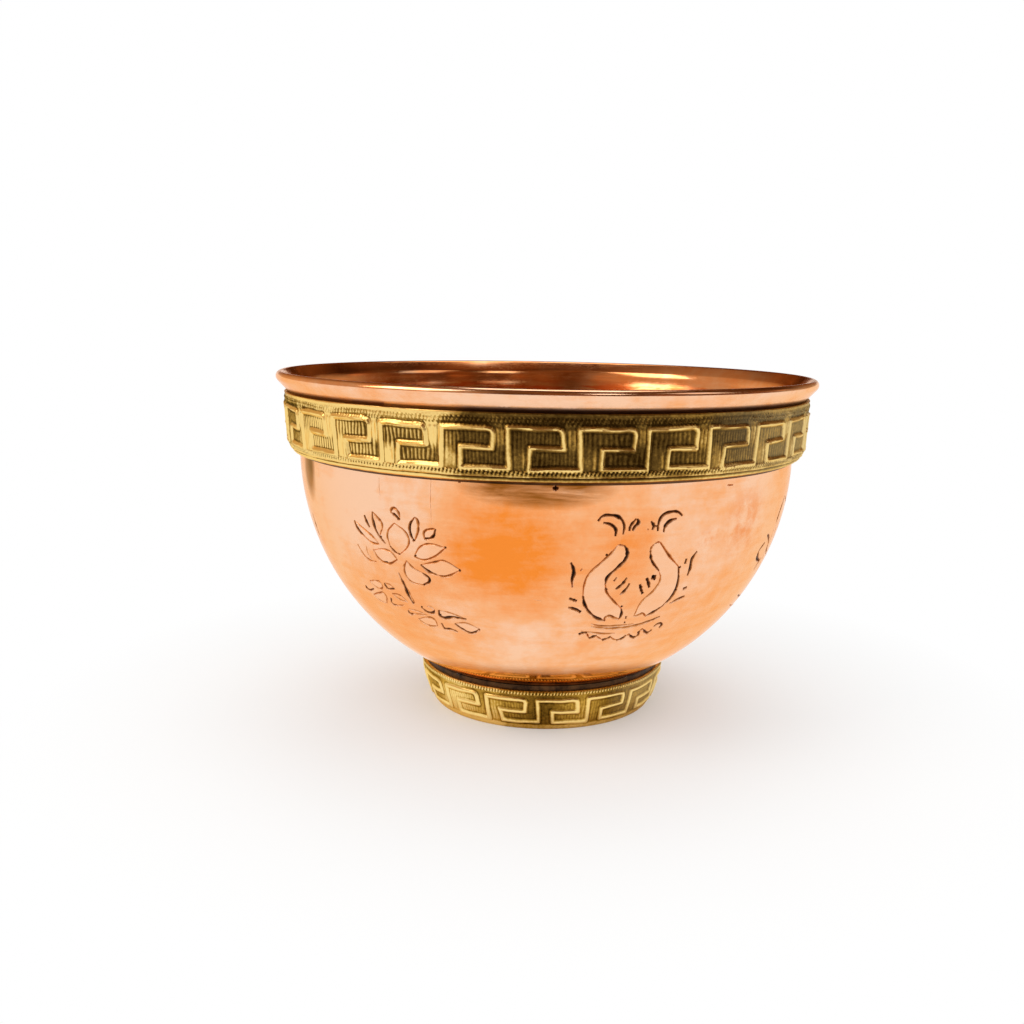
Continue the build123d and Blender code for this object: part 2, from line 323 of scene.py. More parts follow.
twin_fish = [
    (deep, (-4.7, 32.5), (-4.2, 33.1), (-3.3, 33.2), (-2.3, 32.9), (-1.7, 32.0), (-1.7, 30.8)),
    (deep, (-4.1, 32.3), (-3.3, 32.1), (-2.6, 31.4), (-2.6, 30.6)),
    (deep, (-0.2, 32.7), (0.0, 32.2), (-0.4, 31.7), (-0.6, 31.2)),
    (deep, (-0.3, 32.7), (-0.9, 31.8), (-1.0, 31.2)),
    (deep, (1.5, 32.3), (1.9, 31.7), (1.8, 31.2)),
    (deep, (1.8, 31.7), (2.4, 31.6)),
    (deep, (2.5, 31.0), (2.5, 31.9), (2.9, 32.9), (4.0, 33.3), (4.9, 33.2), (5.5, 32.7)),
    (deep, (3.3, 30.8), (3.4, 31.6), (4.0, 32.2), (4.8, 32.4)),
    (fine, (1.2, 31.4), (1.3, 31.2)),
    (faint, (-2.2, 29.5), (-2.8, 28.6), (-3.9, 27.4), (-5.3, 25.8), (-5.7, 24.3), (-5.7, 22.9)),
    (deep, (-5.7, 22.9), (-5.3, 21.6), (-4.1, 20.1), (-2.9, 19.4), (-2.2, 19.2)),
    (fine, (-2.2, 19.2), (-2.3, 19.5), (-1.9, 19.9), (-1.1, 19.6), (-0.3, 19.3)),
    (deep, (-1.4, 29.4), (-1.0, 28.7), (-1.0, 27.8), (-2.0, 26.5), (-3.0, 25.3), (-3.1, 24.4)),
    (fine, (-3.1, 24.4), (-2.8, 23.4), (-1.8, 22.2), (-0.3, 20.8)),
    (deep, (-0.3, 20.8), (-0.1, 19.9), (-0.3, 19.3)),
    (faint, (-2.2, 29.5), (-1.9, 29.5), (-1.4, 29.4)),
    (faint, (2.3, 29.4), (2.7, 29.6), (3.0, 29.6)),
    (faint, (2.3, 29.4), (2.0, 29.0), (1.9, 28.6)),
    (deep, (1.9, 28.6), (2.3, 27.3), (3.6, 25.8)),
    (faint, (3.6, 25.8), (4.1, 24.6), (3.6, 23.2), (2.3, 21.7), (1.8, 19.6)),
    (fine, (1.8, 19.6), (2.4, 19.7), (3.0, 19.9), (3.6, 19.4)),
    (fine, (3.0, 29.6), (4.6, 27.7), (6.3, 26.1)),
    (deep, (6.3, 26.1), (6.9, 23.8), (6.7, 22.0), (5.7, 20.6)),
    (deep, (5.7, 20.6), (4.6, 19.9), (3.6, 19.4)),
    (deep, (-1.8, 25.3), (-2.1, 24.8)),
    (deep, (-0.5, 25.2), (-1.0, 24.3), (-1.7, 23.7)),
    (deep, (0.0, 24.4), (-0.4, 23.5), (-1.0, 22.9)),
    (nick, (1.4, 24.2), (1.7, 23.5), (2.1, 22.8)),
    (nick, (2.1, 25.0), (2.5, 24.3), (2.8, 23.6)),
    (deep, (2.8, 25.3), (3.3, 24.6)),
    (deep, (-7.5, 27.4), (-7.1, 26.4), (-7.2, 25.1), (-7.1, 24.1)),
    (deep, (-7.2, 26.8), (-7.0, 26.0), (-7.2, 24.9)),
    (fine, (-6.1, 26.6), (-6.3, 26.3)),
    (nick, (-7.4, 22.6), (-6.9, 22.4), (-6.4, 22.2)),
    (nick, (-7.4, 21.3), (-6.6, 21.1), (-5.7, 20.6)),
    (deep, (8.6, 27.9), (8.1, 27.0), (8.2, 25.5), (8.1, 24.7)),
    (nick, (7.2, 27.1), (7.2, 26.4)),
    (nick, (8.7, 23.0), (8.1, 22.8)),
    (deep, (8.9, 21.7), (7.9, 21.4), (6.8, 20.9)),
    (deep, (0.7, 19.7), (0.7, 19.3)),
    (deep, (0.7, 18.9), (0.8, 18.6)),
    (faint, (-4.1, 18.8), (-2.5, 18.4), (-0.6, 18.3), (2.2, 18.4)),
    (fine, (-4.0, 18.4), (-2.0, 18.0), (0.6, 17.9), (3.3, 18.2), (6.1, 19.0)),
    (nick, (-5.5, 17.2), (-5.0, 17.4), (-4.3, 17.4)),
    (nick, (-3.9, 16.5), (-3.4, 16.7), (-2.8, 16.9)),
    (nick, (-1.8, 16.1), (-1.1, 16.3), (-0.6, 16.6)),
    (nick, (0.5, 15.9), (1.3, 16.1), (1.8, 16.6)),
    (nick, (2.4, 16.5), (3.3, 16.1), (3.8, 16.4), (3.6, 17.1)),
    (nick, (4.4, 17.1), (5.4, 16.6), (5.8, 17.1)),
    (nick, (5.9, 17.5), (6.4, 17.9), (7.2, 17.6), (7.0, 17.2)),
    (faint, (-5.3, 17.7), (-3.9, 17.5), (-2.2, 17.2), (-0.2, 17.1)),
    (deep, (2.0, 18.05), (4.2, 18.45), (6.1, 19.05)),
    (fine, (-4.3, 17.3), (-4.1, 16.9), (-3.9, 16.6)),
    (fine, (-2.8, 16.8), (-2.3, 16.4), (-1.9, 16.2)),
    (fine, (-0.6, 16.5), (0.0, 16.1), (0.5, 16.0)),
    (fine, (1.8, 16.5), (2.1, 16.7), (2.5, 16.5)),
    (fine, (3.6, 17.0), (4.0, 17.3), (4.5, 17.1)),
]


fish_nicks = [(-3.4, 28.3), (-2.9, 23.7), (-0.4, 21.2), (-0.1, 20.1), (6.5, 26.0), (7.0, 22.8), (6.3, 21.3)]
twin_fish += [(nick, (across - 0.1, up + 0.1), (across + 0.1, up - 0.1)) for across, up in fish_nicks]
twin_fish += [(pit, (2.8, 25.3), (3.05, 25.0), (3.3, 24.7))]


def mirrored(strokes):
    """Strokes of one half of a symbol, with their copies on the other side of its middle."""
    return strokes + [(weight, *((-across, up) for across, up in points)) for weight, *points in strokes]


conch = [
    (pit, (-0.5, 32.5), (-1.1, 31.6), (-2.0, 30.1), (-2.2, 28.6)),
    (fine, (-1.0, 28.8), (-0.8, 27.8), (-0.5, 26.6)),
    (nick, (-5.0, 27.9), (-3.1, 26.6), (-2.2, 25.4), (-0.5, 24.2)),
    (pit, (-5.0, 26.7), (-6.1, 25.8), (-6.0, 25.0), (-3.9, 23.9)),
    (pit, (-3.3, 24.2), (-4.0, 23.4), (-4.3, 22.6)),
    (deep, (0.2, 32.2), (3.2, 30.6), (4.6, 27.4), (3.4, 23.6), (0.4, 20.4)),
    (fine, (-2.1, 28.6), (-2.4, 25.0), (-1.4, 22.2), (0.4, 20.4)),
    (fine, (1.4, 30.6), (2.8, 28.2), (2.2, 25.2)),
    (faint, (0.6, 29.0), (1.4, 26.6), (0.8, 23.6)),
    (deep, (5.6, 26.2), (6.8, 24.6), (6.2, 22.8)),
    (deep, (-4.6, 19.0), (-1.8, 18.2), (1.6, 18.2), (4.8, 19.2)),
    (fine, (-5.4, 17.6), (-2.2, 16.9), (1.8, 16.9), (5.4, 17.8)),
]

treasure_vase = mirrored(
    [
        (deep, (0.0, 21.0), (-2.2, 21.4), (-3.8, 23.4), (-3.4, 26.0), (-1.6, 27.6)),
        (fine, (-1.6, 27.6), (-1.3, 28.8), (-2.4, 29.8)),
        (deep, (-2.4, 29.8), (-1.2, 30.2), (0.0, 30.3)),
        (faint, (-3.6, 24.4), (-1.8, 23.8), (0.0, 23.7)),
        (faint, (-3.4, 25.6), (-1.8, 25.1), (0.0, 25.0)),
        (deep, (0.0, 33.2), (-1.0, 32.0), (0.0, 30.6)),
        (fine, (-1.4, 30.4), (-2.6, 31.4), (-1.6, 32.4)),
        (deep, (-1.8, 21.2), (-2.6, 20.0), (-1.2, 19.4), (0.0, 19.3)),
        (fine, (-3.8, 28.4), (-5.8, 27.2), (-6.4, 25.0)),
        (deep, (-5.0, 23.8), (-6.6, 22.4), (-6.0, 20.8)),
        (deep, (-6.0, 18.2), (-4.2, 17.6), (-2.4, 18.0)),
        (deep, (-2.0, 17.2), (-1.0, 16.8), (0.0, 17.2)),
    ]
)

parasol = mirrored(
    [
        (deep, (0.0, 32.6), (-3.2, 31.2), (-5.6, 28.2)),
        (deep, (-5.6, 28.2), (-4.4, 27.4), (-3.6, 28.2)),
        (deep, (-3.6, 28.2), (-2.4, 27.2), (-1.6, 28.0)),
        (deep, (-1.6, 28.0), (-0.8, 27.2), (0.0, 27.8)),
        (faint, (-1.2, 32.2), (-2.8, 30.4), (-3.6, 28.2)),
        (faint, (-0.4, 32.4), (-1.2, 30.4), (-1.6, 28.0)),
        (fine, (-0.3, 27.6), (-0.3, 22.6), (-0.3, 19.4)),
        (fine, (-5.4, 27.6), (-6.6, 25.6), (-5.8, 23.6)),
        (deep, (-4.4, 26.6), (-5.0, 24.8), (-4.2, 22.8)),
        (deep, (-0.6, 19.6), (-1.8, 18.6), (-3.6, 18.8)),
        (deep, (-1.0, 17.8), (-3.0, 17.0), (-5.2, 17.6)),
        (fine, (0.0, 34.0), (-0.6, 33.3), (0.0, 32.6)),
    ]
)

victory_banner = mirrored(
    [
        (deep, (0.0, 32.8), (-1.6, 31.6), (-3.4, 31.2)),
        (deep, (-3.4, 31.2), (-3.2, 29.6), (-4.2, 28.4)),
        (fine, (-4.2, 28.4), (-2.0, 27.8), (0.0, 27.7)),
        (fine, (-3.4, 31.2), (-1.6, 30.7), (0.0, 30.6)),
        (deep, (-3.6, 28.0), (-3.4, 26.4), (-4.4, 25.0)),
        (fine, (-4.4, 25.0), (-2.0, 24.4), (0.0, 24.3)),
        (deep, (-3.8, 24.6), (-3.6, 22.8), (-4.6, 21.2)),
        (deep, (-4.6, 21.2), (-3.4, 20.4), (-2.4, 21.0)),
        (deep, (-2.4, 21.0), (-1.2, 20.0), (0.0, 20.6)),
        (fine, (-1.4, 27.4), (-1.3, 26.0), (-1.5, 24.8)),
        (fine, (-1.4, 24.0), (-1.3, 22.6), (-1.5, 21.2)),
        (fine, (-5.4, 29.6), (-6.6, 27.6), (-5.8, 25.4)),
        (fine, (-0.3, 20.2), (-0.3, 18.4)),
        (deep, (-0.8, 17.8), (-2.8, 17.0), (-5.0, 17.6)),
    ]
)


def ring_strokes(weight, middle, radius, parts):
    """A circle drawn as a few round strokes."""
    strokes = []
    for part in range(parts):
        turns = [2 * pi * (part + step / 4) / parts for step in range(5)]
        strokes.append((weight, *((radius * sin(turn), middle + radius * cos(turn)) for turn in turns)))
    return strokes


wheel_middle = 25.6
wheel = ring_strokes(deep, wheel_middle, 5.6, 4)
wheel += ring_strokes(fine, wheel_middle, 4.5, 4)
wheel += ring_strokes(deep, wheel_middle, 1.2, 2)
for spoke in range(8):
    turn = pi * (spoke + 0.5) / 4
    reach = [(radius * sin(turn), wheel_middle + radius * cos(turn)) for radius in (1.4, 3.0, 4.4)]
    tip = [(radius * sin(turn), wheel_middle + radius * cos(turn)) for radius in (5.8, 6.8)]
    wheel += [(deep, *reach), (deep, *tip)]
wheel += mirrored([(deep, (-0.6, 17.6), (-2.6, 16.9), (-5.2, 17.6)), (fine, (0.0, 18.4), (-3.0, 18.2))])
wheel += mirrored([(pit, (9.0, 29.0), (9.1, 27.5), (9.2, 25.9))])

knot_middle = 25.6
knot = []
for lane in (-2.4, 0.0, 2.4):
    for side in (-1, 1):
        knot.append(
            (
                deep if lane else fine,
                (lane * side - 3.4, knot_middle - 3.4 * side - lane),
                (lane * side * 0.9, knot_middle - lane * 0.9),
                (lane * side + 3.4, knot_middle + 3.4 * side - lane),
            )
        )
knot += mirrored(
    [
        (deep, (-1.0, 31.4), (-2.4, 32.4), (-3.4, 31.4), (-1.0, 29.2)),
        (deep, (-1.0, 19.8), (-2.4, 18.8), (-3.4, 19.8), (-1.0, 22.0)),
        (deep, (-5.8, 28.0), (-7.0, 27.0), (-6.2, 25.6), (-5.0, 25.6)),
        (deep, (-5.8, 23.2), (-7.0, 24.2), (-6.2, 25.6)),
        (fine, (0.0, 17.4), (-2.0, 17.0), (-4.6, 17.6)),
    ]
)

# Knocks and scratches of use, near the front
wear_marks = [
    (pit, (0.76, 36.38), (1.1, 36.4), (1.44, 36.4)),
    (fine, (-9.6, 36.7), (-9.3, 36.66)),
    (fine, (22.4, 35.96), (23.4, 35.9)),
    (hair, (-12.85, 36.9), (-12.95, 34.5), (-13.0, 31.3)),
    (hair, (-19.9, 36.4), (-19.95, 35.2), (-19.9, 34.0)),
    (hair, (-1.2, 22.4), (-0.2, 22.2)),
]

# Where the eight symbols stand round the bowl, as unevenly as they were marked out
symbols = {
    "lotus": (-32.0, lotus),
    "twin_fish": (18.5, twin_fish),
    "conch": (70.0, conch),
    "treasure_vase": (112.0, treasure_vase),
    "parasol": (154.0, parasol),
    "knot": (196.0, knot),
    "victory_banner": (237.0, victory_banner),
    "wheel": (-83.0, wheel),
    "wear_marks": (0.0, wear_marks),
}

# Places inside the petals, leaves and fish, where the copper is paler
bright_places = {
    "lotus": [(0.3, 28.7), (2.9, 30.4), (4.9, 30.1), (4.5, 27.7), (5.6, 25.8), (2.0, 24.2), (-2.3, 26.2)]
    + [(-5.0, 28.8), (-2.6, 30.4), (-6.0, 21.8), (-6.4, 19.8), (1.4, 17.6), (5.6, 19.15), (7.4, 17.6)],
    "twin_fish": [(-4.2, 23.0), (5.3, 23.0), (-2.4, 27.8), (3.6, 27.4)],
}


def draw_strokes(name, strokes, finishes, draws):
    """A symbol drawn flat, each stroke a slim bar of unsteady width, as one mesh."""
    start_fresh()
    bpy.ops.curve.primitive_bezier_curve_add()
    drawing = bpy.context.object
    drawing.name = name
    line = drawing.data
    line.dimensions = "3D"
    line.twist_mode = "Z_UP"
    line.fill_mode = "FULL"
    line.use_fill_caps = True
    line.bevel_depth = 1.0
    line.bevel_resolution = 0
    line.resolution_u = 2
    for finish in finishes:
        line.materials.append(finish)
    line.splines.clear()
    for weight, *points in strokes:
        stroke = line.splines.new("BEZIER")
        stroke.bezier_points.add(len(points) - 1)
        stroke.material_index = 1 if weight in (fine, faint, hair) else 0
        last = len(points) - 1
        for number, (across, up) in enumerate(points):
            point = stroke.bezier_points[number]
            point.co = (across, up, 0)
            point.handle_left_type = "AUTO"
            point.handle_right_type = "AUTO"
            ending = stroke_end[weight] if number in (0, last) else 1.0
            point.radius = stroke_half_width[weight] * ending
    bpy.ops.object.mode_set(mode="EDIT")
    bpy.ops.curve.select_all(action="SELECT")
    bpy.ops.curve.subdivide(number_cuts=2)
    bpy.ops.object.mode_set(mode="OBJECT")
    for stroke in line.splines:
        for point in stroke.bezier_points:
            point.radius *= draws.uniform(1 - graver_chatter, 1 + graver_chatter)
    bpy.ops.object.convert(target="MESH")
    return bpy.context.object


def wrap_on_wall(drawing, angle):
    """Lays a flat drawing on the bowl's wall, with its middle at an angle from the front."""
    count = len(drawing.data.vertices)
    flat = np.zeros(count * 3)
    drawing.data.vertices.foreach_get("co", flat)
    across, up, out = flat.reshape(-1, 3).T
    turn = radians(angle) + across / symbol_radius
    rise = up - belly_height
    radius = np.sqrt(belly_radius**2 - rise**2)
    reach = radius * (1 + out / belly_radius)
    place = np.column_stack((reach * np.sin(turn), -reach * np.cos(turn), up + rise * out / belly_radius))
    drawing.data.vertices.foreach_set("co", place.ravel())
    drawing.data.update()


def engrave(bowl, finishes):
    """Cuts every symbol's strokes into the bowl's wall as V grooves."""
    draws = np.random.default_rng(graver_seed)
    cutters = bpy.data.collections.new("gravers")
    bpy.context.scene.collection.children.link(cutters)
    for name, (angle, strokes) in symbols.items():
        drawing = draw_strokes(name, strokes, finishes, draws)
        wrap_on_wall(drawing, angle)
        bpy.ops.object.mode_set(mode="EDIT")
        bpy.ops.mesh.select_all(action="SELECT")
        bpy.ops.mesh.remove_doubles(threshold=0.001)
        bpy.ops.mesh.normals_make_consistent(inside=False)
        bpy.ops.mesh.separate(type="LOOSE")
        bpy.ops.object.mode_set(mode="OBJECT")
        for stroke in list(bpy.context.selected_objects):
            for home in list(stroke.users_collection):
                home.objects.unlink(stroke)
            cutters.objects.link(stroke)
    work_on(bowl)
    cut = bowl.modifiers.new("engraving", "BOOLEAN")
    cut.operation = "DIFFERENCE"
    cut.operand_type = "COLLECTION"
    cut.collection = cutters
    cut.solver = "EXACT"
    cut.material_mode = "TRANSFER"
    bpy.ops.object.modifier_apply(modifier=cut.name)
    for stroke in list(cutters.objects):
        bpy.data.objects.remove(stroke)
    bpy.data.collections.remove(cutters)


def wall_point(angle, across, up):
    """The point of the wall at a place of a symbol that stands at an angle."""
    turn = radians(angle) + across / symbol_radius
    radius = wall_radius(up)
    return Vector((radius * sin(turn), -radius * cos(turn), up))


def brighten_inside(bowl, slot):
    """Gives the copper inside closed engraved outlines its brighter finish."""
    for name, places in bright_places.items():
        angle = symbols[name][0]
        for across, up in places:
            work_on(bowl)
            for face in bowl.data.polygons:
                face.select = False
            _, _, _, seed = bowl.closest_point_on_mesh(wall_point(angle, across, up))
            bowl.data.polygons[seed].select = True
            bpy.ops.object.mode_set(mode="EDIT")
            bpy.ops.mesh.select_mode(type="FACE")
            bpy.ops.mesh.select_linked(delimit={"MATERIAL"})
            inside = bowl.data.count_selected_items()[2]
            if bowl.data.polygons[seed].material_index == 0 and inside < largest_petal_faces:
                bowl.active_material_index = slot
                bpy.ops.object.material_slot_assign()
            bpy.ops.object.mode_set(mode="OBJECT")


# The stamped key fret: one cell's centre line, in pitches across and in heights up
fret_line = [(0, 0), (0, 1), (0.68, 1), (0.755, 0.97), (0.78, 0.86)]
fret_line += [(0.78, 0.5), (0.3, 0.5), (0.3, 0), (1, 0)]
fret_bends = len(fret_line) - 1


def struck_by_hand(draws, count, amount):
    """How far each corner of each cell of a fret was struck out of place, in millimetres."""
    wobble = draws.normal(0, amount, (count, fret_bends, 2))
    wobble[:, 3] = wobble[:, 2]
    wobble[:, 4] = wobble[:, 2]
    return wobble


def fret_distance(across, up, pitch, height, wobble):
    """Distance of each point of a stamped strip from the ridges of its key fret."""
    cell = np.floor(across / pitch)
    least = np.full(across.shape, np.inf)
    for neighbour in (-1, 0, 1):
        number = (cell + neighbour).astype(int) % len(wobble)
        moved = list(wobble[number].transpose(1, 2, 0)) + [wobble[(number + 1) % len(wobble), 0].T]
        local = across - (cell + neighbour) * pitch
        bends = [(a * pitch + m[0], b * height + m[1]) for (a, b), m in zip(fret_line, moved)]
        for (x0, y0), (x1, y1) in zip(bends, bends[1:]):
            run, rise = x1 - x0, y1 - y0
            along = np.clip(((local - x0) * run + (up - y0) * rise) / (run**2 + rise**2), 0, 1)
            least = np.minimum(least, np.hypot(local - x0 - along * run, up - y0 - along * rise))
    return least


def ridge(distance, half_width):
    """Height of a rounded ridge, from 1 on its crest to 0 at its foot."""
    return 0.5 + 0.5 * np.cos(np.pi * np.clip(np.abs(distance) / half_width, 0, 1))


def window(value, low, high, soft):
    """1 between two limits and 0 outside them, with soft edges."""
    return np.clip((value - low) / soft + 0.5, 0, 1) * np.clip((high - value) / soft + 0.5, 0, 1)


def waves(across, up, draws, scale):
    """Slow unevenness of hand-struck metal, between about -1 and 1."""
    total = np.zeros(across.shape)
    for _ in range(6):
        a, b, phase = draws.uniform(-1, 1), draws.uniform(-1, 1), draws.uniform(0, 2 * pi)
        total += np.sin((a * across + b * up) / scale + phase)
    return total / 3


def rim_relief(across, up, round_length):
    """Stamped relief of the rim strip, in millimetres, and how bright its ridges are rubbed."""
    draws = np.random.default_rng(rim_stamp_seed)
    pitch = (round_length - strip_lap) / strip_fret_count
    wobble = struck_by_hand(draws, strip_fret_count, 0.09)
    uneven = waves(across, up, draws, 1.6)
    fine_uneven = waves(across, up, draws, 0.35)
    lapped = across - strip_lap / 2 + 0.05 * waves(across, up, draws, 0.5)
    level = up + 0.045 * waves(across, up, draws, 0.5)
    on_fret = window(lapped, 0, pitch * strip_fret_count, 0.2)
    distance = fret_distance(lapped, level - strip_fret_low, pitch, strip_fret_height, wobble)
    key = ridge(distance, 0.39 + 0.07 * uneven) * on_fret
    cell = np.clip((lapped / pitch).astype(int), 0, strip_fret_count - 1)
    cell_place = lapped / pitch - cell
    share = (level - strip_fret_low) / strip_fret_height
    depth = draws.uniform(0.45, 1.0, strip_fret_count)[cell]
    rib_phase = draws.uniform(0, 2 * pi, strip_fret_count)[cell]
    rib_pitch = draws.uniform(0.4, 0.62, strip_fret_count)[cell]
    open_ground = np.clip((distance - 0.28) / 0.18, 0, 1) * on_fret
    upper_panel = window(cell_place, 0.02, 0.77, 0.03) * window(share, 0.46, 1.2, 0.3)
    lower_panel = window(cell_place, 0.32, 0.98, 0.03) * window(share, -0.2, 0.54, 0.3)
    panel = np.clip(upper_panel + lower_panel, 0, 1) * open_ground
    field = window(up, strip_fret_low, strip_fret_low + strip_fret_height, 0.3)
    rib = 0.5 + 0.5 * np.cos(2 * pi * lapped / rib_pitch + rib_phase + 0.7 * fine_uneven)
    hatch = rib * depth * field * open_ground * (0.4 + 0.6 * panel)
    between = ridge((cell_place - 0.855) * pitch, 0.24) + ridge((cell_place - 0.925) * pitch, 0.24)
    beside = ridge((cell_place - 0.215) * pitch, 0.24) * window(share, 0, 0.52, 0.06)
    posts = (between + beside) * field * open_ground * (1 - panel) * (0.5 + 0.5 * depth)
    hatch = hatch * (1 - np.clip(posts * 1.5, 0, 1))
    dots = np.cos(2 * pi * (across - 0.4 * up) / 0.5 + 1.6 * fine_uneven)
    dots = np.clip(dots + 0.5 * np.cos(2 * pi * up / 0.46 + 2.2 * uneven), 0, 1)
    upper_row = window(level, *upper_row_span, 0.15)
    upper_ticks = dots * upper_row
    slant = np.clip(1.4 * np.cos(2 * pi * (across - 0.45 * up) / 0.49 + 0.9 * uneven) + 0.4, 0, 1)
    lower_row = window(level, *lower_row_span, 0.12)
    lower_ticks = slant * lower_row
    bead = ridge(up - bead_height, 0.21)
    line = ridge(up - border_line_height, 0.14)
    edge = ridge(up - strip_bottom - 0.24, 0.24)
    height = 0.3 * key + 0.12 * hatch - 0.09 * panel + 0.18 * posts
    height = height + 0.15 * upper_ticks + 0.17 * lower_ticks
    height = height + 0.17 * bead + 0.1 * edge - 0.05 * line + 0.03 * uneven + 0.015 * fine_uneven
    foot_of_ridge = ridge(distance - 0.46, 0.16) * on_fret
    rubbed = 0.3 + 0.7 * key + 0.34 * hatch - 0.26 * panel + 0.42 * posts + 0.08 * uneven
    rubbed = rubbed + 0.4 * upper_ticks + 0.55 * lower_ticks + 0.6 * bead + 0.5 * edge
    rubbed = rubbed - 0.22 * foot_of_ridge - 0.3 * line - 0.25 * lower_row * (1 - slant) - 0.24 * upper_row
    return height * window(up, strip_bottom - 1, strip_top - 0.1, 0.2), np.clip(rubbed, 0, 1)


def foot_relief(across, up, round_length):
    """Stamped relief of the foot strip, in millimetres, and how bright its ridges are rubbed."""
    draws = np.random.default_rng(foot_stamp_seed)
    ribbon = 0.5
    pitch = (round_length - ribbon) / foot_fret_count
    wobble = struck_by_hand(draws, foot_fret_count, 0.08)
    uneven = waves(across, up, draws, 1.4)
    fine_uneven = waves(across, up, draws, 0.3)
    fretted = across - ribbon / 2 + 0.04 * waves(across, up, draws, 0.45)
    level = up + 0.04 * waves(across, up, draws, 0.45)
    distance = fret_distance(fretted, level - foot_fret_low, pitch, foot_fret_height, wobble)
    key = ridge(np.clip(distance - 0.1, 0, None), 0.3 + 0.04 * uneven)
    rib = 0.5 + 0.5 * np.cos(2 * pi * across / 0.42 + 0.9 * fine_uneven)
    field = window(up, foot_fret_low, foot_fret_low + foot_fret_height, 0.3)
    hatch = rib * field * np.clip((distance - 0.38) / 0.15, 0, 1) * (0.5 + 0.5 * uneven.clip(-1, 1))
    saw = np.clip(1.5 * np.cos(2 * pi * (across - 0.3 * up) / 0.42 + 0.9 * uneven) + 0.4, 0, 1)
    saw_row = window(up, foot_height - 0.52, foot_height - 0.06, 0.1)
    teeth = saw * saw_row
    edge = window(up, -1, 0.75, 0.2)
    height = 0.24 * key + 0.07 * hatch + 0.16 * teeth + 0.05 * edge + 0.03 * uneven + 0.015 * fine_uneven
    foot_of_ridge = ridge(distance - 0.44, 0.15)
    rubbed = 0.24 + 0.72 * key + 0.2 * hatch + 0.66 * teeth + 0.5 * edge + 0.1 * uneven
    rubbed = rubbed - 0.16 * foot_of_ridge - 0.15 * saw_row * (1 - saw)
    return height * window(up, 0.35, foot_height - 0.02, 0.1), np.clip(rubbed, 0, 1)


def strip_face(height):
    """Outer radius of the rim strip's ground at a height."""
    top = wall_radius(strip_top) + strip_seat_gap + strip_sheet
    return top - (strip_top - height) * tan(strip_taper)


def rim_section():
    """The rim strip in section: stations down its face, then round its edge and up its back."""
    turn_height = strip_bottom + border_height
    face = [(strip_face(height), height) for height in np.linspace(strip_top - 0.06, turn_height, 42)]
    turn_angle = 2 * atan2(border_turn_in, border_height) - strip_taper
    sweep = turn_angle - strip_taper
    chord = sqrt(border_turn_in**2 + border_height**2)
    bend = chord / (2 * sin(sweep / 2))
    centre = (face[-1][0] - bend * cos(strip_taper), turn_height + bend * sin(strip_taper))
    border = arc(centre, bend, degrees(-strip_taper), degrees(-turn_angle), 13)[1:]
    back = arc(centre, bend - strip_sheet, degrees(-turn_angle), degrees(-strip_taper), 4)
    top = [
        (strip_face(strip_top) - strip_sheet, strip_top),
        (strip_face(strip_top) - 0.06, strip_top),
    ]
    return face + border, back + top


def foot_face(height):
    """Outer radius of the foot strip's ground at a height."""
    share = height / foot_height
    return foot_top_radius - (foot_height - height) * tan(foot_taper) + foot_bow * 4 * share * (1 - share)


def foot_section():
    """The foot strip in section: stations down its face, then under it and up its back."""
    face = [(foot_face(height), height) for height in np.linspace(foot_height - 0.05, foot_edge_round, 44)]
    round_centre = (foot_face(0) - foot_edge_round, foot_edge_round)
    heel = arc(round_centre, foot_edge_round, -20, -90, 4)
    inner = foot_face(0) - foot_sheet
    back = [
        (inner + foot_edge_round, 0),
        (inner + 0.04, 0.04),
        (inner + foot_edge_round * tan(foot_taper), foot_edge_round),
        (foot_face(foot_height / 2) - foot_sheet, foot_height / 2),
        (foot_top_radius - foot_sheet, foot_height),
        (foot_top_radius - 0.05, foot_height),
    ]
    return face + heel, back


